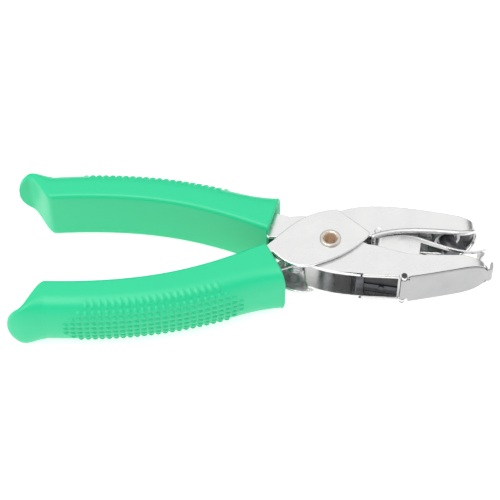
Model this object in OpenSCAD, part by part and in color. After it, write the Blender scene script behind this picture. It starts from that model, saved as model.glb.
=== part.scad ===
// Single-hole plier punch, lying on its side.
// Frame: origin on the pivot axis at mid thickness, +X towards the jaws, +Y the way the upper jaw
// opens, +Z up through the thickness, so that +-Z are the two cheeks. Millimetres, degrees.
// The tool is drawn open, at rest against its return spring.

/* [Grips] */
// Distance from the pivot back to the grips' tails
tail_reach = 92; // [88:0.5:100]
// Thickness of a grip through both cheeks
grip_thick = 17.8; // [17:0.1:20]
// Height of a grip from its flat inner face to its rounded back, near the jaws
grip_depth = 12.4; // [12:0.1:14]
// How far a grip's back swells out round its mouth
mouth_flare = 1.8; // [0:0.1:2.2]
// How far the tail hooks outwards to hold the fingers
tail_hook = 4.4; // [3:0.1:5]
// How far the upper handle leans in towards the lower one, more than its mirror image
upper_lean = 2; // [0:0.25:3]
// Gap between a grip and the steel handle inside it
grip_fit = 0.1; // [0.05:0.01:0.2]

/* [Levers] */
// Thickness of the pressed steel sheet
sheet = 1; // [0.8:0.05:1.1]
// Outside width of the jaws across both cheeks
jaw_width = 11.2; // [10.8:0.1:11.6]
// Gap between the outer cheeks and the inner cheeks that slide under them
cheek_gap = 0.15; // [0.1:0.01:0.25]
// Angle between the jaws at rest, which is also the working stroke
jaw_open = 11; // [9:0.5:11]

/* [Pivot] */
// Radius of the hole through the hollow rivet
rivet_hole_r = 1.85; // [1.6:0.05:2]
// Wall of the hollow rivet's shank
rivet_wall = 0.6; // [0.5:0.05:0.8]
// How far the rivet's rolled heads stand out round its shank
rivet_lip = 0.6; // [0.5:0.05:1]
// Thickness of a rolled head
rivet_head_t = 0.65; // [0.4:0.05:1]
// Wall of the spacer bush on the shank
bush_wall = 0.55; // [0.5:0.05:0.9]
// Radial running clearance of every turning joint
run_gap = 0.06; // [0.03:0.01:0.1]

/* [Punch and die] */
// Distance from the pivot to the punch
punch_x = 35; // [34:0.25:36]
// Radius of the punch
punch_r = 2.3; // [2:0.05:2.5]
// How far below the pivot the punch's tip reaches when the jaws are shut
punch_drop = 7.5; // [7.2:0.1:8]
// Wall of the collar round the punch
collar_wall = 1.6; // [1.3:0.1:1.8]
// Depth of the recess in the collar's face
collar_recess = 1.2; // [0.6:0.1:1.4]
// Thickness of the hardened die plate
die_plate_t = 1.6; // [1.2:0.1:2]

/* [Paper leaf] */
// Thickness of the leaf's spring steel
leaf_t = 0.6; // [0.4:0.05:0.7]
// Gap between the leaf's sides and the upper jaw's cheeks
leaf_side_gap = 0.4; // [0.3:0.05:0.6]
// Radius of the pin that the leaf swings on
leaf_pin_r = 0.8; // [0.7:0.05:0.9]

/* [Chip cover] */
// Thickness of the cover's sheet
cover_t = 0.6; // [0.5:0.05:0.7]
// Gap along the seam between the cover and the lower jaw
cover_seam = 0.1; // [0.05:0.01:0.2]
// Radius of the cover's hinge pin
cover_pin_r = 0.5; // [0.4:0.05:0.6]

/* [Return spring] */
// Diameter of the spring wire
wire_d = 0.9; // [0.7:0.05:1]
// Mean radius of the coil
coil_r = 2.7; // [2.4:0.1:2.8]
// Number of turns
coil_turns = 5; // [3:1:5]

/* [Hidden] */
$fn = 48;

// Half widths, out from the mid plane: the inner and outer faces of each pair of cheeks.
jaw_out = jaw_width / 2;
jaw_in = jaw_out - sheet;
cheek_in = jaw_out + cheek_gap;
cheek_out = cheek_in + sheet;
grip_half = grip_thick / 2;
leaf_width = 2 * (jaw_in - leaf_side_gap);

// Round sizes that build on each other, out from the rivet's hole and from the punch.
rivet_r = rivet_hole_r + rivet_wall;
rivet_head_r = rivet_r + rivet_lip;
bush_r = rivet_r + bush_wall;
collar_r = punch_r + collar_wall;
hair = 0.01;

// Grip spine, drawn for the upper handle: a curve from the mouth to the knee, then the hooked tail.
tail_length = 11;
mouth = [-16.2, 8.2];
knee = [-(tail_reach - tail_length), 21.8];
spine_pull = [[-32, 15.5], [-48, 22.8]];
grip_corner = 1.6;
back_share = 0.58;
upper_skew = 7;

// Outwards from a handle's spine to the edges of the steel inside it.
punch_handle = [-4.3, 1.5];
die_handle = [-3.9, 2.8];
handle_end = 0.93;

// Pivot plate: the straight step where the punch lever's cheeks turn in to the upper jaw.
step_top = [2.4, 11.3];
step_foot = [11, 3.1];
step_lap = 1.2;
boss_r = 8.2;

// The jaws' noses in plan: where each starts to curve in, and how long it is.
upper_nose = [36.6, 7];
upper_end = upper_nose[0] + upper_nose[1] + 0.1;
lower_nose = [37, 8.8];

die_top = -4.9 - sheet;
die_plate_ends = [punch_x - punch_r - 3.5, punch_x + punch_r + 2.9];
die_rivet_x = die_plate_ends + [1.4, -1];
die_rivet_r = 0.6;

leaf_pin_at = [14, 3.9];
cover_pin_at = [20.8, -12.7];
ear_r = cover_pin_r + 0.45;
shelf_foot = [9.7, -10.1];
shelf_end = [19.3, -11.8];
catch_t = 0.4;
catch_w = 1.6;
catch_rivet_r = 0.4;
spring_at = [-10, -3];

// ---------- curves ----------

function bezier(p, t) = let(u = 1 - t)
    u * u * u * p[0] + 3 * u * u * t * p[1] + 3 * u * t * t * p[2] + t * t * t * p[3];
function curve(a, b, c, d, n = 8) = [for (i = [0:n]) bezier([a, b, c, d], i / n)];
function arc(r, from, to, n = 10) =
    [for (i = [0:n]) let(a = from + (to - from) * i / n) r * [cos(a), sin(a)]];
function shifted(points, by) = [for (p = points) p + by];
function flipped(points) = [for (p = points) [p[0], -p[1]]];
function reversed(points) = [for (i = [len(points) - 1:-1:0]) points[i]];
function unit(v) = v / norm(v);
function turned(v, a) = [v[0] * cos(a) - v[1] * sin(a), v[0] * sin(a) + v[1] * cos(a)];
function leaned(points) = [for (p = points) mouth + turned(p - mouth, upper_lean)];

spine_curve = [mouth, spine_pull[0], spine_pull[1], knee];
function spine(t) = bezier(spine_curve, t);
function outward(t) =
    let(step = unit(spine(min(t + hair, 1)) - spine(max(t - hair, 0)))) [step[1], -step[0]];
function beside_spine(off, from, to, n = 16) =
    [for (i = [0:n]) let(t = from + (to - from) * i / n) spine(t) + off * outward(t)];

// ---------- grips ----------

// Edges of the grip, outwards from the spine: the flat inner face, and the back, which swells at the mouth.
function inner_edge(t) = 0.6 * t - grip_depth / 2;
function back_edge(t) = grip_depth / 2 - 0.8 * t + mouth_flare * pow(max(0, 1 - t / 0.25), 2);

// A grip's section as [outward, up] points: a flat inner face, flat sides and a rounded back.
// round = 2 makes the back half an ellipse, and more makes it squarer.
function section(inner, back, w, round) =
    let(
        r = min(grip_corner, 0.35 * (back - inner), 0.7 * w),
        deep = (back - inner) * back_share,
        power = 2 / round
    )
    concat(
        [for (a = [-90:11.25:90])
            [back - deep + deep * pow(cos(a), power), w * sign(a) * pow(abs(sin(a)), power)]],
        [for (a = [90:22.5:180]) [inner + r + r * cos(a), w - r + r * sin(a)]],
        [for (a = [180:22.5:270]) [inner + r + r * cos(a), r - w + r * sin(a)]]
    );
function ring(at, out, points) = [for (p = points) [at[0] + out[0] * p[0], at[1] + out[1] * p[0], p[1]]];
function body_ring(t, skew) = ring(
    spine(t), turned(outward(t), skew * pow(max(0, 1 - t / 0.25), 2)),
    section(inner_edge(t), back_edge(t), grip_half, 2.4 + 1.4 * pow(1 - t, 6))
);

// The tail: the inner face sweeps outwards to meet the back in a rounded tip.
tail_steps = [0.07, 0.15, 0.22, 0.29, 0.36, 0.43, 0.5, 0.57, 0.65, 0.74, 0.83, 0.91, 0.97];
sweep_from = 0.03;
sweep_share = 0.68;
function eased(v) = let(c = min(1, max(0, v))) c * c * (3 - 2 * c);
function tail_inner(u) = inner_edge(1) + (inner_sweep - inner_edge(1)) * eased((u - sweep_from) / sweep_share);
function tail_ring(u) =
    let(
        tip = inner_sweep + 1,
        back = tip + (back_edge(1) + tail_hook / 4 * sin(90 * u) - tip) * sqrt(1 - pow(u, 3.2)),
        w = grip_half * sqrt(1 - pow(u, 3))
    )
    ring(knee - [tail_length * u, 0], [0, 1], section(min(tail_inner(u), back - 0.4), back, w, 2.5));
inner_sweep = tail_hook - 1;

module loft(rings) {
    n = len(rings[0]);
    last = len(rings) - 1;
    polyhedron(
        points = [for (r = rings) each r],
        faces = concat(
            [[for (i = [0:n - 1]) i]],
            [for (k = [0:last - 1], i = [0:n - 1], half = [0, 1])
                let(j = (i + 1) % n, a = k * n, b = a + n)
                half == 0 ? [a + j, a + i, b + i] : [a + j, b + i, b + j]],
            [[for (i = [n - 1:-1:0]) last * n + i]]
        )
    );
}

// Skew turns the mouth's end face away from square to the spine.
module grip_skin(skew = 0) {
    body_steps = 18;
    loft(concat(
        [for (i = [0:body_steps]) body_ring(i / body_steps, skew)], [for (u = tail_steps) tail_ring(u)]
    ));
}

module upper_grip() color("mediumseagreen") difference() {
    translate(mouth) rotate(upper_lean) translate(-mouth) grip_skin(upper_skew);
    linear_extrude(2 * (jaw_out + grip_fit), center = true)
        offset(delta = grip_fit) polygon(die_side);
}

module lower_grip() color("mediumseagreen") difference() {
    mirror([0, 1, 0]) grip_skin();
    linear_extrude(2 * (cheek_out + grip_fit), center = true)
        offset(delta = grip_fit) polygon(pivot_plate);
    // Way in for the spring's leg.
    linear_extrude(2 * cheek_in, center = true) polygon([[-14, -5.6], [-14, -9], [-21, -11.4], [-21, -8]]);
}

// ---------- pressed levers ----------

// Plan of a jaw seen from above its web: straight sides and a blunt elliptical nose.
nose_power = 0.87;
module jaw_plan(half, nose) rotate([90, 0, 0]) linear_extrude(80, center = true) polygon(concat(
    [[-tail_reach, -half]],
    [for (a = [-90:7.5:90])
        [nose[0] + nose[1] * pow(cos(a), nose_power), half * sign(a) * pow(abs(sin(a)), nose_power)]],
    [[-tail_reach, half]]
));

// Sheet wall of a jaw: both cheeks and the nose that joins them, cut to a side outline.
module jaw_wall(side, half, nose, wall) intersection() {
    linear_extrude(2 * half, center = true) polygon(side);
    difference() {
        jaw_plan(half, nose);
        jaw_plan(half - wall, nose - [0, wall]);
    }
}

// Web between two cheeks, as a strip seen from the side.
module web(strip, half, nose) intersection() {
    linear_extrude(2 * half, center = true) polygon(strip);
    jaw_plan(half, nose);
}

module across(at, r, half) translate([at[0], at[1], 0]) cylinder(r = r, h = 2 * half, center = true);

// --- punch lever: the upper jaw and the lower handle ---

upper_top = curve(step_top, [9, 14], [18, 14.9], [upper_end, 8.3], 14);
upper_edge = concat(
    curve([upper_end, 6.6], [42.2, 6.4], [41.2, 3.4], [37.6, 3.4]),
    curve([37.6, 3.4], [31, 4], [20, 5.6], [12.2, 1.8])
);
lap = step_lap * unit([step_foot[1] - step_top[1], step_top[0] - step_foot[0]]);
upper_side = concat(upper_top, upper_edge, [step_foot + lap, step_top + lap]);

pivot_plate = concat(
    [step_top, step_foot],
    curve([11.3, 2.8], [11.9, 2.2], [11.2, 1.2], [9.9, 0], 5),
    curve([9.9, 0], [5.5, -5], [0, -7.8], [-6, -9.6]),
    curve([-6, -9.6], [-10.5, -10.6], [-14, -8.2], [-16.9, -4.3]),
    flipped(beside_spine(punch_handle[1], 0.07, handle_end)),
    flipped(beside_spine(punch_handle[0], handle_end, 0.09)),
    curve([-18.3, -1.9], [-12.5, 3.4], [-8.5, 10.5], step_top, 10)
);

module punch_lever() color("gainsboro") difference() {
    union() {
        for (side = [-1, 1]) translate([0, 0, side * (cheek_in + sheet / 2)])
            linear_extrude(sheet, center = true) polygon(pivot_plate);
        jaw_wall(upper_side, jaw_out, upper_nose, sheet);
        web(concat(upper_top, reversed(shifted(upper_top, [0, -sheet]))), jaw_out, upper_nose);
        // The lap under the step, where the sheet turns in from the pivot plates to the jaw.
        for (side = [-1, 1]) translate([0, 0, side * (jaw_in + cheek_in + sheet / 2) / 2])
            linear_extrude(cheek_in + sheet / 2 - jaw_in, center = true)
                polygon([step_top, step_foot, step_foot + lap, step_top + lap]);
        linear_extrude(2 * cheek_in + sheet, center = true) polygon(flipped(concat(
            beside_spine(punch_handle[1], 0.12, handle_end),
            beside_spine(punch_handle[1] - sheet, handle_end, 0.12)
        )));
    }
    across([0, 0], rivet_r, cheek_out + 1);
    across(leaf_pin_at, leaf_pin_r, cheek_out + 1);
}

// --- die lever: the lower jaw and the upper handle ---

lower_top = concat(
    curve([11, -1], [16, -1.4], [19, -4.9], [28, -4.9]),
    curve([38, -4.9], [41, -5.1], [43, -5.9], [46, -6.6])
);
web_top = concat(
    [[24.5, -4.7]],
    curve([28, -4.9], [31, -4.9], [35, -4.9], [38, -4.9], 2),
    curve([38, -4.9], [41, -5.1], [43, -5.9], [46, -6.6])
);
seam = curve([46, -7.3], [40, -9.4], [33, -10.7], [22.4, -12.7]);
die_web_start = [[-15.1, 10.35], [-11.4, 9.3], [-8.4, 9.7]];
die_side = concat(
    arc(boss_r, 105, 5),
    lower_top,
    seam,
    curve([20, -12.7], [8, -12.4], [-1, -11.6], [-6.5, -8.4]),
    curve([-6.5, -8.4], [-8.4, -5.6], [-5, 0.6], [-11, 1.3]),
    [[-17.8, 1.7]],
    leaned(beside_spine(die_handle[0], 0.07, handle_end)),
    leaned(beside_spine(die_handle[1], handle_end, 0.04)),
    die_web_start,
    [[-5.5, 9.4]]
);

module die_lever() color("gainsboro") difference() {
    union() {
        jaw_wall(die_side, jaw_out, lower_nose, sheet);
        intersection() {
            web(concat(web_top, reversed(shifted(web_top, [0, -sheet]))), jaw_out, lower_nose);
            linear_extrude(2 * jaw_out, center = true) polygon(die_side);
        }
        web(concat(
            leaned(beside_spine(die_handle[1], handle_end, 0.04)),
            die_web_start,
            reversed(shifted(die_web_start, [0, -sheet])),
            leaned(beside_spine(die_handle[1] - sheet, 0.04, handle_end))
        ), jaw_out, lower_nose);
        for (side = [-1, 1]) translate([0, 0, side * (jaw_out - sheet / 2)]) {
            translate([cover_pin_at[0], cover_pin_at[1], 0])
                cylinder(r = ear_r, h = sheet, center = true);
            // Rolled bead that stiffens the cheek's free edge behind the cover's hinge.
            translate([9, -11.9, 0]) rotate([0, 90, -3.5]) cylinder(r = 0.55, h = 10.5);
        }
    }
    across([0, 0], bush_r + run_gap, cheek_out);
    across(cover_pin_at, cover_pin_r, cheek_out);
    punch_way(punch_r + 0.7);
    // Slot in the web for the leaf's leg.
    translate([42.4, -9, -leg_half - 0.2]) cube([2.6, 5, 2 * leg_half + 0.4]);
}

// ---------- pivot ----------

module pivot_rivet() color("rosybrown") difference() {
    union() {
        cylinder(r = rivet_r, h = 2 * cheek_out, center = true);
        for (side = [-1, 1]) translate([0, 0, side * (cheek_out + rivet_head_t / 2)])
            cylinder(r = rivet_head_r, h = rivet_head_t, center = true);
    }
    cylinder(r = rivet_hole_r, h = 2 * (cheek_out + rivet_head_t + 1), center = true);
}

module pivot_bush() color("silver") difference() {
    cylinder(r = bush_r, h = 2 * cheek_in, center = true);
    cylinder(r = rivet_r, h = 2 * cheek_in + 1, center = true);
}

// ---------- punch and die ----------

// Draws its children along the punch's axis, which stands square to the die when the jaws are shut.
module on_punch_axis() rotate([0, 0, jaw_open]) translate([punch_x, -punch_drop, 0])
    rotate([-90, 0, 0]) children();

// Clear space below the web: the shape that holds what hangs in the upper jaw.
module under_web(depth) intersection() {
    linear_extrude(2 * jaw_in, center = true)
        polygon(concat(shifted(upper_top, [0, -depth]), [[upper_end, -20], [2.4, -20]]));
    jaw_plan(jaw_in - 0.1, upper_nose - [0, sheet + 0.1]);
}

module punch_pin() color("dimgray") intersection() {
    on_punch_axis() cylinder(r = punch_r, h = 20);
    under_web(sheet);
}

module punch_collar() color("slategray") difference() {
    intersection() {
        on_punch_axis() translate([0, 0, punch_drop - 1.9]) cylinder(r = collar_r, h = 12);
        under_web(2 * sheet);
    }
    on_punch_axis() cylinder(r = punch_r, h = 20);
    on_punch_axis() translate([0, 0, punch_drop - 2])
        cylinder(r = collar_r - 0.9, h = collar_recess + 0.1);
}

module punch_holder() color("silver") difference() {
    intersection() {
        under_web(sheet);
        linear_extrude(2 * jaw_in, center = true) polygon(concat(
            upper_top, [[42.4, 0], [27, 0]]
        ));
        translate([27, 0, 0]) linear_extrude(2 * jaw_in, center = true) square([20, 30]);
    }
    under_web(2 * sheet);
    on_punch_axis() cylinder(r = punch_r, h = 20);
}

// The way the punch travels through the lower jaw: it leans as it enters, so the way is a short slot.
module punch_way(r) translate([punch_x, 0, 0]) rotate([90, 0, 0]) linear_extrude(14) union() {
    circle(r = r);
    translate([0.55, 0]) circle(r = r);
    translate([0, -r]) square([0.55, 2 * r]);
}

// Clear space below the lower jaw's web, where the die plate hangs.
module below_die_web() linear_extrude(2 * jaw_in, center = true)
    polygon(concat(shifted(web_top, [0, -sheet]), [[46, -20], [24.5, -20]]));

module die_plate() color("slategray") difference() {
    intersection() {
        translate([die_plate_ends[0], die_top - die_plate_t, 1.2 - jaw_in])
            cube([die_plate_ends[1] - die_plate_ends[0], die_plate_t, 2 * (jaw_in - 1.2)]);
        below_die_web();
    }
    punch_way(punch_r + 2 * run_gap);
    for (x = die_rivet_x) translate([x, 0, 0]) rotate([90, 0, 0]) cylinder(r = die_rivet_r, h = 10);
}

module die_rivets() color("silver") intersection() {
    for (x = die_rivet_x) translate([x, die_top, 0]) rotate([90, 0, 0]) {
        cylinder(r = die_rivet_r, h = die_plate_t);
        translate([0, 0, die_plate_t]) cylinder(r = 0.95, h = 0.4);
    }
    below_die_web();
}

// ---------- paper leaf ----------

leaf_eye_r = leaf_pin_r + 1;
slot_half = punch_r + 0.3;
leg_half = 2;
leaf_line = concat(
    curve([14, 2.4], [17, 3.6], [21, 3.9], [24.5, 2.9]),
    curve([24.5, 2.9], [30, 1], [36, -2.4], [41.8, -2.2]),
    [[45.4, -1.2]]
);

module leaf_pin() color("silver") across(leaf_pin_at, leaf_pin_r, jaw_out);

module paper_leaf() color("whitesmoke") difference() {
    union() {
        intersection() {
            linear_extrude(leaf_width, center = true) polygon(concat(
                shifted(leaf_line, [0, leaf_t / 2]), reversed(shifted(leaf_line, [0, -leaf_t / 2]))
            ));
            rotate([90, 0, 0]) linear_extrude(60, center = true) polygon([
                [10, -leaf_width / 2], [24, -leaf_width / 2], [46, -3.3],
                [46, 3.3], [24, leaf_width / 2], [10, leaf_width / 2]
            ]);
        }
        // Leg that keeps the leaf's tip over the lower jaw's nose.
        linear_extrude(2 * leg_half, center = true)
            polygon([[45.2, -1.5], [44.5, -1.5], [43.2, -4.3], [43, -5.55], [43.6, -5.6], [43.85, -4.3]]);
        across(leaf_pin_at, leaf_eye_r, jaw_in - 0.3);
    }
    across(leaf_pin_at, leaf_pin_r + run_gap, jaw_out);
    // Slot that the punch works through.
    translate([26.6, -10, -slot_half]) cube([16.2, 20, 2 * slot_half]);
}

// ---------- chip cover ----------

cover_rim = shifted(seam, [0, -cover_seam]);
cover_under = shifted(cover_rim, [0, -cover_t]);

module chip_cover() color("lightgray") difference() {
    union() {
        web(concat(cover_rim, reversed(cover_under)), jaw_out, lower_nose);
        across(cover_pin_at, ear_r, jaw_in - 0.3);
        // The plate runs on past the hinge, flush outside and rolled over the pin within.
        linear_extrude(2 * (jaw_in - 0.3), center = true) polygon([
            cover_pin_at + [-ear_r, 0], cover_pin_at + [-0.9, -1.12],
            cover_under[len(cover_under) - 1], cover_under[len(cover_under) - 2],
            cover_rim[len(cover_rim) - 2], cover_pin_at + [1.2, 0.1]
        ]);
        // Finger tongue that snaps over the lower jaw's nose.
        linear_extrude(5.2, center = true)
            polygon([[45, -8.2], [45, -7.82], [45.95, -7.5], [46.4, -5.2], [47.2, -5.3], [47, -7.6], [46.2, -8.3]]);
    }
    across(cover_pin_at, cover_pin_r + run_gap, jaw_out);
}

module cover_hinge_pin() color("dimgray") {
    across(cover_pin_at, cover_pin_r, jaw_out);
    for (side = [-1, 1]) translate([cover_pin_at[0], cover_pin_at[1], side * (jaw_out + 0.25)])
        cylinder(r = cover_pin_r + 0.35, h = 0.5, center = true);
}

// Draws its children square to the baffle's shelf, half way along it, +Z out through its underside.
module on_shelf() translate([shelf_foot[0] + 5, -11, -1.5])
    rotate([0, 0, atan2(shelf_end[1] - shelf_foot[1], shelf_end[0] - shelf_foot[0])])
    rotate([90, 0, 0]) children();

// Springy strip under the shelf that holds the cover shut by its barrel.
module cover_catch() color("whitesmoke") difference() {
    translate([0, 0, -1.5]) linear_extrude(catch_w, center = true) polygon([
        shelf_foot, shelf_end, shelf_end - [0, catch_t], shelf_foot - [0, catch_t]
    ]);
    on_shelf() cylinder(r = catch_rivet_r, h = 6, center = true);
}

module catch_rivet() color("silver") on_shelf() {
    translate([0, 0, -0.8]) cylinder(r = catch_rivet_r, h = 1.3);
    translate([0, 0, catch_t - 0.02]) cylinder(r = catch_w / 2, h = 0.4);
}

// Bent tab that ties the lower jaw's cheeks together.
module cross_brace() color("silver") linear_extrude(2 * jaw_in, center = true)
    polygon([[6, -8.4], [6.8, -8.4], [7.8, -9.7], [9.6, -9.9], [9.6, -10.5], [7.4, -10.5]]);

// Black wall that keeps the chips under the die, with a shelf behind it.
module chip_baffle() color([0.08, 0.08, 0.09]) difference() {
    linear_extrude(2 * jaw_in - 0.2, center = true) polygon([
        shelf_foot + [0, 0.8], [18.5, -10.8], [18.5, -4.9], shelf_end + [0, 6.7], shelf_end, shelf_foot
    ]);
    on_shelf() cylinder(r = catch_rivet_r, h = 6, center = true);
}

// ---------- return spring ----------

module wire(from, to) {
    run = to - from;
    translate(from) rotate([0, acos(run[2] / norm(run)), atan2(run[1], run[0])])
        cylinder(d = wire_d, h = norm(run));
}

// Close-wound coil, drawn as the sleeve that its turns fill, with a leg into each handle.
module return_spring() color("lightgray") {
    sleeve_t = wire_d + 0.1;
    sleeve_h = coil_turns * wire_d + 0.1;
    high = (coil_turns - 1) * wire_d / 2;
    translate([spring_at[0], spring_at[1], 0]) {
        rotate_extrude() translate([coil_r - sleeve_t / 2, -sleeve_h / 2]) square([sleeve_t, sleeve_h]);
        wire([0, -coil_r, high], [-13.5, -coil_r - 5, high]);
        wire([0, coil_r, -high], [-13.5, coil_r + 9.6, -high]);
    }
}

die_lever();
upper_grip();
die_plate();
die_rivets();
cross_brace();
chip_baffle();
cover_catch();
catch_rivet();
cover_hinge_pin();
chip_cover();
punch_lever();
lower_grip();
pivot_rivet();
pivot_bush();
punch_holder();
punch_collar();
punch_pin();
leaf_pin();
paper_leaf();
return_spring();
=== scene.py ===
"""A single-hole plier punch with soft green grips, dressed over its fixed frame.

Positions are in the frame's own axes: the origin on the pivot, +X towards the jaws, +Y the way the
upper jaw opens and +Z up through the thickness of the tool, which lies on its side. Sizes are given
in millimetres and turned to metres where a mesh is made.
"""

import logging
from dataclasses import dataclass
from enum import Enum
from math import cos, pi, radians, sin
from typing import Callable, Sequence

import bmesh
import bpy
import numpy as np
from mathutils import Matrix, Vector


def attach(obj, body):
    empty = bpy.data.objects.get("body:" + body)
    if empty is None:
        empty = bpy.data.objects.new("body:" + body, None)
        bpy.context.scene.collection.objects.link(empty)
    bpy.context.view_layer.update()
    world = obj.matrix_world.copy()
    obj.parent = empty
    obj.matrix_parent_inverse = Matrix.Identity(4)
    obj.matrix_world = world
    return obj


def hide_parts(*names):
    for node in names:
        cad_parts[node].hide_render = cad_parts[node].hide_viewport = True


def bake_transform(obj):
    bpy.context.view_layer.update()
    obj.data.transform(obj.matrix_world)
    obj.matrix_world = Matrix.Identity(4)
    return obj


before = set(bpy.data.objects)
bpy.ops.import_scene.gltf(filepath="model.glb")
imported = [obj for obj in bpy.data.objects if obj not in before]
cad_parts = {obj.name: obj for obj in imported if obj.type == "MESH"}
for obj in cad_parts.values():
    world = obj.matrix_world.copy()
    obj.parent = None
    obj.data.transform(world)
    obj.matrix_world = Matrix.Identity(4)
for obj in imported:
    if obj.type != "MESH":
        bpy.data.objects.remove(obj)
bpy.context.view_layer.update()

logging.basicConfig(level=logging.INFO, format="%(message)s")
log = logging.getLogger("hole_punch")

MM = 0.001
Point = tuple[float, float, float]
Face = tuple[int, ...]


class Body(Enum):
    """The bodies that pieces ride on."""

    DIE_SIDE = "die_side"
    PUNCH_SIDE = "punch_side"
    LEAF = "leaf"
    COVER = "cover"


# ---------------------------------------------------------------- small helpers


def linear(hex_colour: str) -> tuple[float, float, float, float]:
    """Turns an sRGB hex colour into a linear RGBA colour.

    Args:
        hex_colour: Six hex digits, with or without a leading hash.

    Returns:
        Red, green, blue and an alpha of one.
    """
    digits = hex_colour.lstrip("#")
    channels = [int(digits[i:i + 2], 16) / 255 for i in (0, 2, 4)]
    flat = [c / 12.92 if c <= 0.04045 else ((c + 0.055) / 1.055) ** 2.4 for c in channels]
    return flat[0], flat[1], flat[2], 1.0


def per_mm(size: float) -> float:
    """Gives the texture scale whose pattern repeats about once in a size in millimetres."""
    return 1 / (size * MM)


def add_node(
    tree: bpy.types.NodeTree,
    kind: str,
    settings: dict | None = None,
    links: dict | None = None,
) -> bpy.types.Node:
    """Adds one node with its settings and links.

    Args:
        tree: The node tree to add it to.
        kind: The node's type, such as ShaderNodeTexNoise.
        settings: Values by attribute name, socket name or socket number.
        links: Output sockets to link in, by input name or number.

    Returns:
        The new node.
    """
    node = tree.nodes.new(kind)
    for key, value in (settings or {}).items():
        if isinstance(key, str) and hasattr(node, key):
            setattr(node, key, value)
        else:
            node.inputs[key].default_value = value
    for key, source in (links or {}).items():
        tree.links.new(source, node.inputs[key])
    return node


def make_piece(name: str, points: Sequence, faces: Sequence[Face], smooth: bool = True) -> bpy.types.Object:
    """Makes a mesh object from points in millimetres.

    Args:
        name: The piece's name.
        points: Its points.
        faces: Its faces, as tuples of point numbers.
        smooth: Whether its faces are shaded smooth.

    Returns:
        The new object, linked to the scene.
    """
    mesh = bpy.data.meshes.new(name)
    mesh.from_pydata((np.asarray(points, float) * MM).tolist(), [], [tuple(f) for f in faces])
    mesh.validate()
    bm = bmesh.new()
    bm.from_mesh(mesh)
    bmesh.ops.recalc_face_normals(bm, faces=bm.faces)
    bm.to_mesh(mesh)
    bm.free()
    mesh.polygons.foreach_set("use_smooth", [smooth] * len(mesh.polygons))
    piece = bpy.data.objects.new(name, mesh)
    bpy.context.scene.collection.objects.link(piece)
    return piece


def ring_faces(rings: int, sides: int, closed_path: bool = False) -> list[Face]:
    """Gives the four-sided faces between rings of points laid end to end.

    Args:
        rings: How many rings there are.
        sides: Points in each ring.
        closed_path: Whether the last ring joins the first.

    Returns:
        The faces.
    """
    faces = []
    for k in range(rings if closed_path else rings - 1):
        a = k * sides
        b = ((k + 1) % rings) * sides
        faces += [(a + i, a + (i + 1) % sides, b + (i + 1) % sides, b + i) for i in range(sides)]
    return faces


def sweep(path: Sequence[Point], radii: tuple[float, float], sides: int = 16) -> tuple[np.ndarray, list[Face]]:
    """Sweeps an ellipse along a path, with rounded ends.

    Args:
        path: The points the sweep follows.
        radii: The ellipse's two half sizes, across the path and along its side direction.
        sides: Points round the ellipse.

    Returns:
        Points and faces.
    """
    line = np.asarray(path, float)
    step = np.gradient(line, axis=0)
    step /= np.linalg.norm(step, axis=1)[:, None]
    side = np.cross(step[0], (0.0, 0.0, 1.0))
    if np.linalg.norm(side) < 0.1:
        side = np.cross(step[0], (0.0, 1.0, 0.0))
    rings = []
    turns = np.linspace(0, 2 * pi, sides, endpoint=False)
    end_shares = [0.35, 0.75, 0.95]
    last = len(line) - 1
    for k, here in enumerate(line):
        side = side - step[k] * np.dot(side, step[k])
        side /= np.linalg.norm(side)
        up = np.cross(step[k], side)
        loop = np.outer(np.cos(turns) * radii[0], side) + np.outer(np.sin(turns) * radii[1], up)
        reach = min(radii)
        if k == 0:
            rings += [here + loop * s - step[0] * reach * (1 - s ** 2) ** 0.5 for s in end_shares]
        rings.append(here + loop)
        if k == last:
            rings += [here + loop * s + step[last] * reach * (1 - s ** 2) ** 0.5 for s in reversed(end_shares)]
    points = np.concatenate(rings)
    faces = ring_faces(len(rings), sides)
    faces.append(tuple(range(sides)))
    faces.append(tuple(len(points) - sides + i for i in range(sides)))
    return points, faces


def lathe(
    profile: Sequence[tuple[float, float]], sides: int, ripple: Callable[[float, float, float], float] | None = None
) -> tuple[np.ndarray, list[Face]]:
    """Turns a closed profile of radius and height about the Z axis.

    Args:
        profile: Closed loop of radius and height.
        sides: Steps round the turn.
        ripple: Gives the radius at a radius, a height and an angle.

    Returns:
        Points and faces.
    """
    points = []
    for k in range(sides):
        a = 2 * pi * k / sides
        for r, z in profile:
            rr = ripple(r, z, a) if ripple else r
            points.append((rr * cos(a), rr * sin(a), z))
    return np.array(points), ring_faces(sides, len(profile), closed_path=True)


def cubic(a: Sequence[float], b: Sequence[float], c: Sequence[float], d: Sequence[float], count: int) -> np.ndarray:
    """Gives points along a cubic curve.

    Args:
        a: Where it starts.
        b: The first pull.
        c: The second pull.
        d: Where it ends.
        count: How many steps it takes.

    Returns:
        One row for each point.
    """
    t = np.linspace(0, 1, count + 1)[:, None]
    p = [np.asarray(q, float) for q in (a, b, c, d)]
    return (1 - t) ** 3 * p[0] + 3 * (1 - t) ** 2 * t * p[1] + 3 * (1 - t) * t ** 2 * p[2] + t ** 3 * p[3]


def place(
    piece: bpy.types.Object, body: Body, slot: str, material: bpy.types.Material, *replaced: str
) -> bpy.types.Object:
    """Dresses a piece, rides it on its body and hides the frame's nodes that it stands for.

    Args:
        piece: The piece.
        body: The body it rides on.
        slot: The record's material slot; not used.
        material: Its finish.
        *replaced: The frame's nodes that it stands for.

    Returns:
        The piece.
    """
    piece.data.materials.clear()
    piece.data.materials.append(material)
    if replaced:
        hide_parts(*replaced)
    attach(piece, body.value)
    return piece


# ---------------------------------------------------------------- finishes


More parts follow.
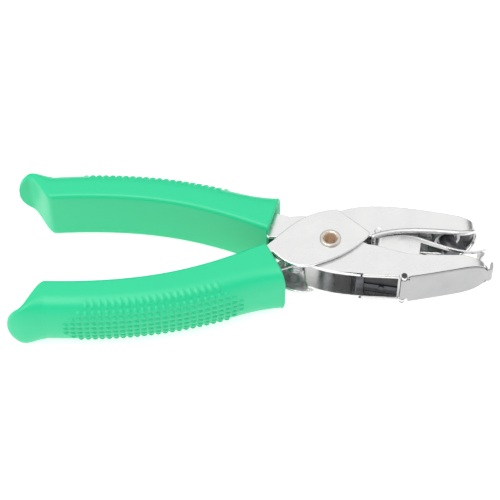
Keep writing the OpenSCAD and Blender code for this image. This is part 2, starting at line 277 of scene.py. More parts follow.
@dataclass(frozen=True)
class Finish:
    """What every finish has: two colours it drifts between, a gloss and a grain.

    Attributes:
        name: The material's name.
        colour: Its main colour, sRGB hex.
        drift: The colour it drifts towards in patches, sRGB hex.
        patch_mm: Size of the patches.
        roughness: Its mean roughness.
        swing: How far the roughness drifts, each way.
        grain_mm: Size of its grain along X, Y and Z.
        grain_depth_mm: Depth of the grain.
        metallic: One for a metal.
        ior: Index of refraction, which a metal leaves alone.
    """

    name: str
    colour: str
    drift: str
    patch_mm: float
    roughness: float
    swing: float
    grain_mm: tuple[float, float, float]
    grain_depth_mm: float
    metallic: float = 1.0
    ior: float = 1.5

    def material(self) -> bpy.types.Material:
        """Builds the material.

        Returns:
            The material, ready to use.
        """
        made = bpy.data.materials.new(self.name)
        made.use_nodes = True
        tree = made.node_tree
        tree.nodes.clear()
        place_at = add_node(tree, "ShaderNodeTexCoord").outputs["Object"]
        patches = add_node(
            tree, "ShaderNodeTexNoise",
            {"Scale": per_mm(self.patch_mm), "Detail": 4.0, "Roughness": 0.55}, {"Vector": place_at},
        ).outputs[0]
        tone = add_node(
            tree, "ShaderNodeMix",
            {"data_type": "RGBA", 6: linear(self.colour), 7: linear(self.drift)}, {0: patches},
        ).outputs[2]
        gloss = add_node(
            tree, "ShaderNodeMapRange",
            {1: 0.3, 2: 0.7, 3: self.roughness - self.swing, 4: self.roughness + self.swing}, {0: patches},
        ).outputs[0]
        squeezed = add_node(
            tree, "ShaderNodeMapping", {"Scale": tuple(per_mm(g) for g in self.grain_mm)}, {"Vector": place_at}
        ).outputs[0]
        grain = add_node(
            tree, "ShaderNodeTexNoise", {"Scale": 1.0, "Detail": 3.0, "Roughness": 0.6}, {"Vector": squeezed}
        ).outputs[0]
        relief = add_node(
            tree, "ShaderNodeBump", {"Strength": 1.0, "Distance": self.grain_depth_mm * MM}, {"Height": grain}
        ).outputs[0]
        settings = {"Metallic": self.metallic}
        if self.metallic < 1:
            settings["IOR"] = self.ior
        shader = add_node(
            tree, "ShaderNodeBsdfPrincipled", settings,
            {"Base Color": tone, "Roughness": gloss, "Normal": relief},
        )
        self.refine(tree, shader, place_at)
        add_node(tree, "ShaderNodeOutputMaterial", {}, {"Surface": shader.outputs[0]})
        return made

    def refine(self, tree: bpy.types.NodeTree, shader: bpy.types.Node, place_at: bpy.types.NodeSocket) -> None:
        """Adds what only this finish has; a plain finish has nothing more."""


@dataclass(frozen=True)
class SoftVinyl(Finish):
    """Soft moulded vinyl: a full colour, a skin gloss over a soft body, and a fine mould texture."""

    def refine(self, tree: bpy.types.NodeTree, shader: bpy.types.Node, place_at: bpy.types.NodeSocket) -> None:
        """Gives the vinyl its thin glossy skin and a little light scattered inside.

        Args:
            tree: The material's node tree; not used.
            shader: Its main shader.
            place_at: The position on the object; not used.
        """
        shader.inputs["Subsurface Weight"].default_value = 0.12
        shader.inputs["Subsurface Radius"].default_value = (0.3, 1.0, 0.6)
        shader.inputs["Subsurface Scale"].default_value = 1.2 * MM
        shader.inputs["Coat Weight"].default_value = 0.15
        shader.inputs["Coat Roughness"].default_value = 0.28


@dataclass(frozen=True)
class HandledPlate(Finish):
    """Nickel plate that has been handled: faint scuffs in thin curved lines.

    Attributes:
        scuff_mm: Length of a scuff.
    """

    scuff_mm: float = 7.0

    def refine(self, tree: bpy.types.NodeTree, shader: bpy.types.Node, place_at: bpy.types.NodeSocket) -> None:
        """Adds scuffs that roughen the plate in thin curved lines.

        Args:
            tree: The material's node tree.
            shader: Its main shader.
            place_at: The position on the object.
        """
        lines = add_node(
            tree, "ShaderNodeTexWave",
            {"wave_type": "RINGS", "Scale": per_mm(self.scuff_mm * 6), "Distortion": 14.0, "Detail": 4.0,
             "Detail Scale": 1.6},
            {"Vector": place_at},
        ).outputs["Fac"]
        thin = add_node(tree, "ShaderNodeMapRange", {1: 0.93, 2: 1.0, 3: 0.0, 4: 0.06}, {0: lines}).outputs[0]
        base = shader.inputs["Roughness"].links[0].from_socket
        both = add_node(tree, "ShaderNodeMath", {"operation": "ADD"}, {0: base, 1: thin}).outputs[0]
        tree.links.new(both, shader.inputs["Roughness"])


@dataclass(frozen=True)
class FlaredRivet(Finish):
    """Nickel-plated tube rivet whose bore shows a duller, slightly brown base metal.

    Attributes:
        bare: Colour of the base metal, sRGB hex.
        bare_radius_mm: How far out the base metal shows.
    """

    bare: str = "#F6E6D4"
    bare_radius_mm: float = 1.98

    def refine(self, tree: bpy.types.NodeTree, shader: bpy.types.Node, place_at: bpy.types.NodeSocket) -> None:
        """Shows the base metal inside the bore, duller than the plate, with a ragged border.

        Args:
            tree: The material's node tree.
            shader: Its main shader.
            place_at: The position on the object.
        """
        flat = add_node(
            tree, "ShaderNodeVectorMath", {"operation": "MULTIPLY", 1: (1.0, 1.0, 0.0)}, {0: place_at}
        ).outputs[0]
        out = add_node(tree, "ShaderNodeVectorMath", {"operation": "LENGTH"}, {0: flat}).outputs["Value"]
        ragged = add_node(
            tree, "ShaderNodeTexNoise", {"Scale": per_mm(0.7), "Detail": 2.0}, {"Vector": place_at}
        ).outputs[0]
        wobble = add_node(
            tree, "ShaderNodeMath", {"operation": "MULTIPLY_ADD", 1: 0.5 * MM, 2: -0.25 * MM}, {0: ragged}
        ).outputs[0]
        edge = add_node(tree, "ShaderNodeMath", {"operation": "ADD"}, {0: out, 1: wobble}).outputs[0]
        inside = add_node(
            tree, "ShaderNodeMapRange",
            {1: (self.bare_radius_mm - 0.1) * MM, 2: (self.bare_radius_mm + 0.1) * MM, 3: 1.0, 4: 0.0}, {0: edge},
        ).outputs[0]
        tone = shader.inputs["Base Color"].links[0].from_socket
        mixed = add_node(
            tree, "ShaderNodeMix", {"data_type": "RGBA", 7: linear(self.bare)}, {0: inside, 6: tone}
        ).outputs[2]
        tree.links.new(mixed, shader.inputs["Base Color"])
        dull = add_node(
            tree, "ShaderNodeMix", {3: 0.65}, {0: inside, 2: shader.inputs["Roughness"].links[0].from_socket}
        ).outputs[0]
        tree.links.new(dull, shader.inputs["Roughness"])


# Nickel plate on pressed mild steel: a bright, slightly warm mirror softened by the steel's grain.
NICKEL_PLATE = HandledPlate("nickel_plate", "#EFEFEE", "#DFDFDF", 7.0, 0.25, 0.05, (2.4, 0.18, 0.18), 0.0009)
# Satin nickel on a pressed cover: the plate is laid over tumbled steel, so it reflects softly.
SATIN_NICKEL = HandledPlate("satin_nickel", "#B9B9BA", "#AAAAAB", 6.0, 0.34, 0.05, (0.3, 0.3, 0.3), 0.0015)
# Dull nickel inside the tool, where the bath reaches badly: greyer and rougher.
INNER_NICKEL = Finish("inner_nickel", "#B4B5B7", "#96979A", 3.0, 0.28, 0.08, (0.4, 0.4, 0.4), 0.0015)
# Hardened tool steel, turned and oiled: mid grey, with fine rings round the punch's own axis.
TOOL_STEEL = Finish("oiled_tool_steel", "#8C8C90", "#6A6A6E", 2.0, 0.34, 0.08, (2.5, 0.12, 2.5), 0.006)
# Blackened steel: a dark grey skin in uneven patches. The hinge pin is blackened; on the plated catch and its rivet
# the same dark colour is painted shade inside the lower jaw.
BLACKENED_AND_SHADED_STEEL = Finish("blackened_steel_and_painted_shade", "#5A5B5E", "#46474A", 2.5, 0.4, 0.09, (0.25, 0.25, 0.25), 0.004)
# Turned steel for the punch's collar: softly glossy, with fine rings round the punch's axis. Its light grey is
# painted light, lifting a dark steel collar that sits in shade inside the jaw.
TURNED_STEEL_PAINTED_LIGHT = Finish("turned_steel_painted_light", "#DCDDDF", "#BDBEC1", 2.5, 0.46, 0.08, (2.0, 0.15, 2.0), 0.003)
# Nickel painted dark in patches: painted shade for the brace inside the lower jaw, where little light reaches.
NICKEL_PAINTED_SHADE = Finish("nickel_with_painted_shade", "#6E6F72", "#3C3D40", 1.6, 0.3, 0.08, (0.3, 0.3, 0.3), 0.002)
# Black phosphate on sheet: nearly no reflection, with a fine crystalline grain.
BLACK_PHOSPHATE = Finish(
    "black_phosphate", "#17171A", "#222226", 1.5, 0.62, 0.08, (0.2, 0.2, 0.2), 0.01, metallic=0.0, ior=1.6
)
# Drawn spring wire: bright, with faint die lines along it.
DRAWN_WIRE = Finish("drawn_spring_wire", "#CFCFD1", "#A8A9AC", 2.0, 0.24, 0.06, (0.4, 0.4, 0.12), 0.0015)
# Tube rivet: nickel outside, a duller and slightly brown base metal in its bore.
TUBE_RIVET = FlaredRivet("tube_rivet", "#DDD8CF", "#C4BDB2", 1.2, 0.22, 0.06, (0.4, 0.4, 0.4), 0.0015)
# Plasticised vinyl, dip-soft and moulded: a full green with an even, slightly oily gloss.
GREEN_VINYL = SoftVinyl(
    "green_soft_vinyl", "#06C98C", "#0DCC92", 14.0, 0.42, 0.04, (0.35, 0.35, 0.35), 0.008, metallic=0.0, ior=1.53
)

# Pale matt card under the tool: an even grey-white with a faint tooth.
PALE_CARD = Finish(
    "pale_card", "#C4C4C4", "#C1C1C1", 40.0, 0.8, 0.05, (0.8, 0.8, 0.8), 0.01, metallic=0.0, ior=1.45
)


# ---------------------------------------------------------------- grips


@dataclass
class Grip:
    """One soft moulded grip with a hooked tail and rows of small bumps on its back.

    Attributes:
        name: The piece's name.
        node: The frame's node that it stands for.
        body: The body it rides on.
        lean: Turn about its mouth, in degrees, towards the other handle.
        skew: Turn of its mouth's end face, in degrees.
        flipped: Whether it is the lower handle's, a mirror image of the upper one.
    """

    name: str
    node: str
    body: Body
    lean: float
    skew: float
    flipped: bool
    depth: float = 12.4
    half: float = 8.9
    flare: float = 1.8
    hook: float = 4.4
    corner: float = 1.2
    back_share: float = 0.58
    tail_length: float = 11.0
    sweep_from: float = 0.03
    sweep_share: float = 0.68
    spine_points: tuple = ((-16.2, 8.2), (-32.0, 15.5), (-48.0, 22.8), (-81.0, 21.8))
    bump_pitch: float = 1.94
    bump_row_pitch: float = 1.98
    bump_radius: float = 0.72
    bump_height: float = 0.62
    bump_middle_x: float = -51.2
    row_counts: tuple[int, ...] = (26, 26, 24, 22, 20)
    pocket: tuple[float, float, float] = (-4.4, 2.9, 6.85)
    pocket_depth: float = 3.5

    def spine(self, t: np.ndarray) -> np.ndarray:
        """Gives points of the grip's centre curve at shares of its length from mouth to knee."""
        p = [np.asarray(q) for q in self.spine_points]
        t = np.asarray(t, float)[:, None]
        return (1 - t) ** 3 * p[0] + 3 * (1 - t) ** 2 * t * p[1] + 3 * (1 - t) * t ** 2 * p[2] + t ** 3 * p[3]

    def inner_edge(self, t: float) -> float:
        """Gives how far in from the spine the flat inner face lies."""
        return 0.6 * t - self.depth / 2

    def inner_rise(self, x: float) -> float:
        """Gives how far the inner face has swept outwards at a place along the tool, before the hook's tip."""
        along = (self.spine_points[-1][0] - x) / self.tail_length
        share = min(1.0, max(0.0, (along - self.sweep_from) / self.sweep_share))
        return (self.hook - 1 - self.inner_edge(1)) * share * share * (3 - 2 * share)

    def back_edge(self, t: float) -> float:
        """Gives how far out from the spine the back lies, swelling at the mouth."""
        return self.depth / 2 - 0.8 * t + self.flare * max(0.0, 1 - t / 0.25) ** 2

    def section(
        self, inner: float, back: float, w: float, roundness: float, sides: tuple[int, int, int]
    ) -> np.ndarray:
        """Gives one section of the grip as points outwards and up.

        Args:
            inner: Where the flat inner face lies.
            back: Where the back's crest lies.
            w: Half the section's width.
            roundness: Two for an elliptical back, and more for a squarer one.
            sides: Steps along the back, a side and the inner face.

        Returns:
            A closed loop of points, one row each.
        """
        r = min(self.corner, 0.35 * (back - inner), 0.7 * w)
        deep = (back - inner) * self.back_share
        power = 2 / roundness
        fine = np.linspace(-pi / 2, pi / 2, 721)
        raw = np.stack([
            back - deep + deep * np.cos(fine).clip(0) ** power,
            w * np.sign(fine) * np.abs(np.sin(fine)) ** power,
        ], axis=1)
        walked = np.concatenate([[0], np.cumsum(np.linalg.norm(np.diff(raw, axis=0), axis=1))])
        at = np.linspace(0, walked[-1], sides[0] + 1)
        crest = np.stack([np.interp(at, walked, raw[:, i]) for i in (0, 1)], axis=1)
        corner = np.linspace(pi / 2, pi, sides[1] + 1)
        upper = np.stack([inner + r + r * np.cos(corner), w - r + r * np.sin(corner)], axis=1)
        lower = np.stack([upper[::-1, 0], -upper[::-1, 1]], axis=1)
        side = np.linspace(crest[-1], upper[0], 5)[1:-1]
        flat = np.linspace(upper[-1], lower[0], sides[2] + 1)[1:-1]
        back_side = np.stack([side[::-1, 0], -side[::-1, 1]], axis=1)
        return np.concatenate([crest, side, upper, flat, lower, back_side])

    def ring(self, at: np.ndarray, out: np.ndarray, points: np.ndarray) -> np.ndarray:
        """Stands a section up at a point of the spine."""
        return np.column_stack([at[0] + out[0] * points[:, 0], at[1] + out[1] * points[:, 0], points[:, 1]])

    def outward(self, t: float, skew: float = 0.0) -> np.ndarray:
        """Gives the direction out from the spine, with the mouth's skew fading out along the grip."""
        a, b = self.spine([max(t - 0.01, 0)])[0], self.spine([min(t + 0.01, 1)])[0]
        step = (b - a) / np.linalg.norm(b - a)
        turn = radians(skew * max(0.0, 1 - t / 0.25) ** 2)
        x, y = step[1], -step[0]
        return np.array([x * cos(turn) - y * sin(turn), x * sin(turn) + y * cos(turn)])

    def bump_height_at(self, along: np.ndarray, up: np.ndarray, middle: float) -> np.ndarray:
        """Gives how far the bumps raise the back.

        Args:
            along: Distance of each point along the spine.
            up: Height of each point above the middle plane.
            middle: Distance along the spine of the rows' middle.

        Returns:
            The rise of each point.
        """
        row = np.rint(up / self.bump_row_pitch).astype(int)
        counts = np.array([*self.row_counts, 0, 0, 0])[np.abs(row).clip(0, 7)]
        column = np.rint((along - middle) / self.bump_pitch - 0.5) + 0.5
        inside = np.abs(column) <= counts / 2 - 0.25
        gone = ((along - middle - column * self.bump_pitch) ** 2 + (up - row * self.bump_row_pitch) ** 2) ** 0.5
        dome = np.sqrt(np.clip(1 - (gone / self.bump_radius) ** 2, 0, None))
        return np.where(inside & (counts > 0), self.bump_height * dome, 0.0)

    def tail_rings(self, sides: tuple[int, int, int]) -> list[np.ndarray]:
        """Gives the rings of the hooked tail, whose inner face sweeps out to a rounded tip."""
        knee = np.array(self.spine_points[-1])
        sweep_to = self.hook - 1
        rings = []
        for u in 1 - (1 - np.linspace(0.03, 1, 34)) ** 1.6 * 0.999:
            if u > 0.995:
                continue
            inner = self.inner_edge(1) + self.inner_rise(knee[0] - self.tail_length * u)
            tip = sweep_to + 1
            crest = self.back_edge(1) + self.hook / 4 * sin(pi / 2 * u)
            back = tip + (crest - tip) * (1 - u ** 3.2) ** 0.5
            w = self.half * (1 - u ** 3) ** 0.5
            at = knee - np.array([self.tail_length * u, 0])
            rings.append(
                self.ring(at, np.array([0.0, 1.0]), self.section(min(inner, back - 0.4), back, w, 2.5, sides))
            )
        return rings

    def build(self) -> bpy.types.Object:
        """Builds the sleeve, with its mouth, bumps and tail, and places it."""
        sides = ((170, 8, 14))
        fine = np.linspace(0, 1, 2001)
        line = self.spine(fine)
        walked = np.concatenate([[0], np.cumsum(np.linalg.norm(np.diff(line, axis=0), axis=1))])
        middle = float(np.interp(-self.bump_middle_x, -line[:, 0], walked))
        step = 0.17
        stops = np.linspace(0, walked[-1], int(walked[-1] / step))
        rings = []
        rim = 0.7
        for s in (self.pocket_depth, 0.9):
            t = float(np.interp(s, walked, fine))
            hole = self.section(self.pocket[0], self.pocket[1], self.pocket[2], 12.0, sides)
            rings.append(self.ring(self.spine([t])[0], self.outward(t, self.skew), hole))
        mouth, way = self.spine([0.0])[0], self.outward(0.0, self.skew)
        for a in np.linspace(0, pi / 2, 6):
            inset = rim * (1 - sin(a))
            forward = rim * cos(a) - rim
            points = self.section(
                self.inner_edge(0) + inset, self.back_edge(0) - inset, self.half - inset, 3.8, sides
            )
            ahead = np.array([way[1], -way[0]])
            rings.append(self.ring(mouth + ahead * forward, way, points))
        for s in stops[1:]:
            t = float(np.interp(s, walked, fine))
            if s < rim:
                continue
            at = self.spine([t])[0]
            points = self.section(
                self.inner_edge(t) + self.inner_rise(at[0]), self.back_edge(t), self.half,
                2.4 + 1.4 * (1 - t) ** 6, sides,
            )
            back = slice(0, sides[0] + 1)
            rise = self.bump_height_at(np.full(sides[0] + 1, s), points[back, 1], middle)
            points[back, 0] += rise
            rings.append(self.ring(at, self.outward(t, self.skew), points))
        rings += self.tail_rings(sides)
        count = len(rings[0])
        points = np.concatenate(rings)
        faces = ring_faces(len(rings), count)
        caps = [points[:count].mean(0), points[-count:].mean(0)]
        points = np.concatenate([points, caps])
        first, last = len(points) - 2, len(points) - 1
        end = (len(rings) - 1) * count
        faces += [(first, (i + 1) % count, i) for i in range(count)]
        faces += [(last, end + i, end + (i + 1) % count) for i in range(count)]
        turn = radians(self.lean)
        off = points[:, :2] - np.array(self.spine_points[0])
        points[:, 0] = self.spine_points[0][0] + off[:, 0] * cos(turn) - off[:, 1] * sin(turn)
        points[:, 1] = self.spine_points[0][1] + off[:, 0] * sin(turn) + off[:, 1] * cos(turn)
        if self.flipped:
            points[:, 1] *= -1
        piece = make_piece(self.name, points, faces)
        return place(piece, self.body, "green_vinyl", GREEN_VINYL.material(), self.node)


# ---------------------------------------------------------------- pressed steel


@dataclass
class Pressing:
    """A piece of pressed or turned steel, with the small round that tumbling and plating give its edges.

    Attributes:
        node: The frame's node whose shape it keeps.
        body: The body it rides on.
        slot: The record's material slot.
        finish: Its finish.
        edge: Radius of its edges.
        crease: Angle above which an edge is rounded, in degrees.
        weld: Points nearer than this are joined.
        flat: Faces that meet at less than this angle are joined, in degrees.
    """

    node: str
    body: Body
    slot: str
    finish: Finish
    edge: float = 0.2
    crease: float = 32.0
    weld: float = 0.004
    flat: float = 0.6

    def build(self, material: bpy.types.Material) -> bpy.types.Object:
        """Copies the node's shape, rounds its edges and places it.

        Args:
            material: The finish, already made.

        Returns:
            The piece.
        """
        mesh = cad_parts[self.node].data.copy()
        mesh.name = f"{self.node}_pressing"
        bm = bmesh.new()
        bm.from_mesh(mesh)
        bmesh.ops.remove_doubles(bm, verts=bm.verts, dist=self.weld * MM)
        bmesh.ops.dissolve_limit(bm, angle_limit=radians(self.flat), verts=bm.verts, edges=bm.edges)
        bm.to_mesh(mesh)
        bm.free()
        mesh.polygons.foreach_set("use_smooth", [True] * len(mesh.polygons))
        piece = bpy.data.objects.new(mesh.name, mesh)
        bpy.context.scene.collection.objects.link(piece)
        rounding = piece.modifiers.new("edges", "BEVEL")
        rounding.limit_method = "ANGLE"
        rounding.angle_limit = radians(self.crease)
        rounding.width = self.edge * MM
        rounding.segments = 3
        rounding.use_clamp_overlap = False
        rounding.miter_outer = "MITER_ARC"
        even = piece.modifiers.new("shading", "WEIGHTED_NORMAL")
        even.keep_sharp = True
        even.weight = 50
        bpy.context.view_layer.update()
        solid = bpy.data.meshes.new_from_object(piece.evaluated_get(bpy.context.evaluated_depsgraph_get()))
        piece.modifiers.clear()
        piece.data = solid
        return place(piece, self.body, self.slot, material, self.node)


@dataclass
class Levers:
    """The two crossed pressings, the leaf, the cover and the small plates that ride with them.

    Attributes:
        plate_half: Half the upper jaw's width.
        nose_start: Where the upper jaw's nose starts to narrow.
        nose_length: How far the nose reaches from there.
        nose_power: How blunt the nose is.
        band_radius: Half the rolled band's thickness.
        band_inset: How far the band's centre line lies inside the jaw's side.
    """

    plate_half: float = 5.6
    nose_start: float = 36.6
    nose_length: float = 7.0
    nose_power: float = 0.87
    band_radius: float = 0.75
    band_inset: float = 0.42

    def pressings(self) -> list[Pressing]:
        """Lists the pieces that keep the frame's shape."""
        return [
            Pressing("die_lever", Body.DIE_SIDE, "plated_steel", NICKEL_PLATE, 0.18),
            Pressing("punch_lever", Body.PUNCH_SIDE, "plated_steel", NICKEL_PLATE, 0.36),
            Pressing("paper_leaf", Body.LEAF, "plated_steel", NICKEL_PLATE, 0.08),
            Pressing("chip_cover", Body.COVER, "satin_steel", SATIN_NICKEL, 0.2),
            Pressing("punch_holder", Body.PUNCH_SIDE, "satin_steel", INNER_NICKEL, 0.1),
            # The brace's dark patchy colour is painted shade over satin nickel.
            Pressing("cross_brace", Body.DIE_SIDE, "satin_steel", NICKEL_PAINTED_SHADE, 0.12),
            Pressing("chip_baffle", Body.DIE_SIDE, "black_steel", BLACK_PHOSPHATE, 0.1),
            # The plated catch takes the dark colour as painted shade inside the lower jaw's window.
            Pressing("cover_catch", Body.DIE_SIDE, "plated_steel", BLACKENED_AND_SHADED_STEEL, 0.08),
            Pressing("die_plate", Body.DIE_SIDE, "hard_steel", TOOL_STEEL, 0.12),
            Pressing("punch_pin", Body.PUNCH_SIDE, "hard_steel", TOOL_STEEL, 0.08),
            # The collar's light grey is painted light over dark steel.
            Pressing("punch_collar", Body.PUNCH_SIDE, "dark_steel", TURNED_STEEL_PAINTED_LIGHT, 0.12),
            Pressing("pivot_bush", Body.PUNCH_SIDE, "satin_steel", INNER_NICKEL, 0.1),
            Pressing("leaf_pin", Body.PUNCH_SIDE, "satin_steel", NICKEL_PLATE, 0.03),
            Pressing("cover_hinge_pin", Body.DIE_SIDE, "dark_steel", BLACKENED_AND_SHADED_STEEL, 0.16),
            Pressing("die_rivets", Body.DIE_SIDE, "satin_steel", INNER_NICKEL, 0.08),
            # The satin rivet takes the dark colour as painted shade inside the lower jaw's window.
            Pressing("catch_rivet", Body.DIE_SIDE, "satin_steel", BLACKENED_AND_SHADED_STEEL, 0.08),
        ]

    def band_path(self) -> np.ndarray:
        """Gives the path of the rolled band: along one cheek's lower edge, round the nose and back."""
        side = np.concatenate([
            cubic((12.6, 2.1), (20.0, 5.6), (31.0, 4.0), (37.6, 3.4), 40),
            cubic((37.6, 3.4), (41.2, 3.4), (42.2, 6.2), (43.5, 6.4), 16)[1:],
        ])
        half = self.plate_half - self.band_inset
        reach = np.clip((side[:, 0] - self.nose_start) / (self.nose_length - 0.1), 0, 1)
        width = half * (1 - reach ** (2 / self.nose_power)).clip(0) ** (self.nose_power / 2)
        near = np.column_stack([side, width])
        far = np.column_stack([side[::-1], -width[::-1]])
        return np.concatenate([near, far[1:]])

    def build(self) -> list[bpy.types.Object]:
        """Builds and places every piece.

        Returns:
            The pieces.
        """
        finishes: dict[str, bpy.types.Material] = {}
        made = []
        for pressing in self.pressings():
            name = pressing.finish.name
            if name not in finishes:
                finishes[name] = pressing.finish.material()
            made.append(pressing.build(finishes[name]))
        points, faces = sweep(self.band_path(), (self.band_radius, self.band_radius * 0.9))
        band = make_piece("upper_jaw_rolled_band", points, faces)
        made.append(place(band, Body.PUNCH_SIDE, "plated_steel", finishes[NICKEL_PLATE.name]))
        return made


# ---------------------------------------------------------------- pivot and spring


@dataclass
class HollowRivet:
    """The tube rivet: a bore, rolled heads, and a mouth whose lip is drawn out in points."""

    bore: float = 1.85
    shank: float = 2.45
    head: float = 3.05
    cheek: float = 6.75
    top: float = 7.4
    splits: int = 6

    def profile(self) -> list[tuple[float, float]]:
        """Gives the closed profile of radius and height."""
        mid = (self.cheek + self.top) / 2
        thick = (self.top - self.cheek) / 2
        roll = [
            (self.head - thick + thick * cos(a), mid + thick * sin(a)) for a in np.linspace(-pi / 2, pi / 2, 9)
        ]
        crown = [(self.head - thick - 0.35, self.top), (self.bore + 0.3, self.top - 0.04)]
        lip = [(self.bore + 0.1, self.top - 0.16), (self.bore + 0.02, self.top - 0.4), (self.bore, self.top - 0.8)]
        upper = [(self.shank, self.cheek - 0.4), (self.shank, self.cheek), *roll, *crown, *lip]
        return upper + [(r, -z) for r, z in reversed(upper)]

    def build(self) -> bpy.types.Object:
        """Builds the rivet and places it."""

        def split(r: float, z: float, a: float) -> float:
            """Pushes the lip out in points, more at the mouth than in the bore."""
            near_top = max(0.0, abs(z) - (self.top - 0.6)) / 0.6
            near_bore = max(0.0, 1 - (r - self.bore) / 0.6)
            point = max(0.0, cos(self.splits * a)) ** 3
            return r + 0.26 * point * near_top * near_bore

        points, faces = lathe(self.profile(), 144, split)
        piece = make_piece("pivot_tube_rivet", points, faces)
        return place(piece, Body.PUNCH_SIDE, "rivet_metal", TUBE_RIVET.material(), "pivot_rivet")


@dataclass
class CoilSpring:
    """The close-wound return spring, one wire with a leg into each handle.

    Attributes:
        centre: The coil's axis.
        radius: The coil's mean radius.
        wire: The wire's thickness.
        turns: How many turns there are.
        low_leg: Tip of the leg at the coil's low end, from its axis. It reaches into the upper handle.
        high_leg: Tip of the leg at the coil's high end, from its axis. It reaches into the lower handle.
        lead_in: How far the wire is eased up just before it meets the coil.
    """

    centre: tuple[float, float] = (-10.0, -3.0)
    radius: float = 2.7
    wire: float = 0.9
    turns: int = 5
    low_leg: tuple[float, float] = (-13.5, 12.3)
    high_leg: tuple[float, float] = (-13.5, -7.7)
    lead_in: float = 0.05

    def path(self) -> np.ndarray:
        """Gives the wire's centre line from the upper handle's leg, round the coil, to the lower's."""
        high = (self.turns - 1) * self.wire / 2
        start = pi / 2
        whole = 2 * pi * (self.turns - 1) + pi
        angles = np.linspace(start, start - whole, 40 * self.turns)
        heights = np.linspace(-high, high, len(angles))
        coil = np.column_stack([self.radius * np.cos(angles), self.radius * np.sin(angles), heights])
        leg_in = np.linspace((*self.low_leg, -high), (0.0, self.radius, -high), 12)[:-1]
        leg_in[-2:, 1] += self.lead_in
        leg_out = np.linspace((0.0, -self.radius, high), (*self.high_leg, high), 12)[1:]
        return np.concatenate([leg_in, coil, leg_out]) + np.array([*self.centre, 0.0])

    def build(self) -> bpy.types.Object:
        """Builds the spring and hides the frame's node that it stands for."""
        points, faces = sweep(self.path(), (self.wire / 2, self.wire / 2), 14)
        piece = make_piece("return_spring_wire", points, faces)
        piece.data.materials.append(DRAWN_WIRE.material())
        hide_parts("return_spring")
        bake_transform(piece)
        return piece


# ---------------------------------------------------------------- studio


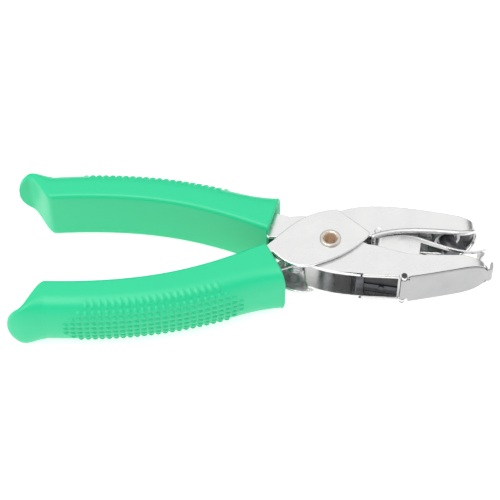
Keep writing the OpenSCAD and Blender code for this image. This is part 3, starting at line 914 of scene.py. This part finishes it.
@dataclass
class Studio:
    """A pale glowing floor, a soft lamp, a pale surround and the camera that looks down on the tool.

    Attributes:
        floor_z: Height of the floor.
        floor_size: Half the floor's side.
        floor_glow: Strength of the floor's own light.
        surround_strength: Strength of the surround's light.
        surround_pale: The surround's main colour, sRGB hex.
        surround_dark: Its colour where it is dark, sRGB hex.
        distance: From the camera to its target.
        elevation: The camera's angle above the floor, in degrees.
        target: What the camera looks at.
        lens: The camera's focal length.
        lamp_at: Where the lamp hangs.
        lamp_aim: What it points at.
        lamp_size: Its diameter.
        lamp_watts: Its power.
    """

    floor_z: float = -8.95
    floor_size: float = 3000.0
    floor_glow: float = 0.72
    surround_strength: float = 1.08
    surround_pale: str = "#FAFAFA"
    surround_dark: str = "#303133"
    distance: float = 500.0
    elevation: float = 52.0
    target: Point = (-23.24, -2.87, 5.16)
    lens: float = 124.6
    lamp_at: Point = (-260.0, -120.0, 760.0)
    lamp_aim: Point = (-20.0, 0.0, 0.0)
    lamp_size: float = 700.0
    lamp_watts: float = 3.0

    def floor(self) -> None:
        """Lays the floor: a sheet of pale matt card with an even glow, which stands for broad soft light on it."""
        size, z = self.floor_size, self.floor_z
        corners = [(-size, -size, z), (size, -size, z), (size, size, z), (-size, size, z)]
        card = make_piece("floor", corners, [(0, 1, 2, 3)])
        made = PALE_CARD.material()
        shader = next(node for node in made.node_tree.nodes if node.type == "BSDF_PRINCIPLED")
        shader.inputs["Emission Color"].default_value = (1.0, 1.0, 1.0, 1.0)
        shader.inputs["Emission Strength"].default_value = self.floor_glow
        card.data.materials.append(made)

    def light(self) -> None:
        """Hangs the soft lamp and sets a pale surround, darker part way up in front and low behind."""
        lamp = bpy.data.lights.new("top_softbox", "AREA")
        lamp.shape = "DISK"
        lamp.size = self.lamp_size * MM
        lamp.energy = self.lamp_watts
        stand = bpy.data.objects.new("top_softbox", lamp)
        stand.location = Vector(self.lamp_at) * MM
        aim = Vector(self.lamp_aim) - Vector(self.lamp_at)
        stand.rotation_euler = aim.to_track_quat("-Z", "Y").to_euler()
        bpy.context.scene.collection.objects.link(stand)
        world = bpy.data.worlds.new("surround")
        world.use_nodes = True
        tree = world.node_tree
        tree.nodes.clear()
        way = add_node(tree, "ShaderNodeTexCoord").outputs["Generated"]
        parts = add_node(tree, "ShaderNodeSeparateXYZ", {}, {0: way})
        depth, height = parts.outputs[1], parts.outputs[2]

        def ramp(
            part: bpy.types.NodeSocket, start: float, end: float, low: float, high: float
        ) -> bpy.types.NodeSocket:
            """Runs from low to high as one part of the view's direction goes from start to end."""
            return add_node(tree, "ShaderNodeMapRange", {1: start, 2: end, 3: low, 4: high}, {0: part}).outputs[0]

        front = ramp(depth, 0.0, -0.5, 0.0, 0.65)
        above = ramp(height, 0.3, 0.5, 0.0, 1.0)
        below = ramp(height, 0.72, 0.95, 1.0, 0.0)
        band = add_node(tree, "ShaderNodeMath", {"operation": "MULTIPLY"}, {0: above, 1: below}).outputs[0]
        ahead = add_node(tree, "ShaderNodeMath", {"operation": "MULTIPLY"}, {0: band, 1: front}).outputs[0]
        rear = ramp(depth, 0.2, 0.5, 0.0, 0.9)
        skyline = ramp(height, 0.3, 0.5, 1.0, 0.0)
        behind = add_node(tree, "ShaderNodeMath", {"operation": "MULTIPLY"}, {0: skyline, 1: rear}).outputs[0]
        dark = add_node(tree, "ShaderNodeMath", {"operation": "MAXIMUM"}, {0: ahead, 1: behind}).outputs[0]
        shade = add_node(
            tree, "ShaderNodeMix",
            {"data_type": "RGBA", 6: linear(self.surround_pale), 7: linear(self.surround_dark)}, {0: dark},
        ).outputs[2]
        glow = add_node(tree, "ShaderNodeBackground", {"Strength": self.surround_strength}, {"Color": shade})
        add_node(tree, "ShaderNodeOutputWorld", {}, {"Surface": glow.outputs[0]})
        bpy.context.scene.world = world

    def camera(self) -> None:
        """Sets the camera."""
        eye = bpy.data.cameras.new("camera")
        eye.lens = self.lens
        eye.sensor_width = 36.0
        eye.clip_start = 0.01
        stand = bpy.data.objects.new("camera", eye)
        up = radians(self.elevation)
        stand.location = (Vector(self.target) + Vector((0, -cos(up), sin(up))) * self.distance) * MM
        stand.rotation_euler = (pi / 2 - up, 0.0, 0.0)
        bpy.context.scene.collection.objects.link(stand)
        bpy.context.scene.camera = stand

    def build(self) -> None:
        """Builds the whole studio."""
        self.camera()
        self.floor()
        self.light()
        bpy.context.scene.view_settings.view_transform = "Standard"


def main() -> None:
    """Builds the studio and every piece, and reports each."""
    Studio().build()
    pieces = [
        Grip("upper_grip_sleeve", "upper_grip", Body.DIE_SIDE, lean=2.0, skew=7.0, flipped=False).build(),
        Grip("lower_grip_sleeve", "lower_grip", Body.PUNCH_SIDE, lean=0.0, skew=0.0, flipped=True).build(),
        *Levers().build(),
        HollowRivet().build(),
        CoilSpring().build(),
    ]
    for piece in pieces:
        log.info("%s: %d faces", piece.name, len(piece.data.polygons))


if __name__ == "__main__":
    main()
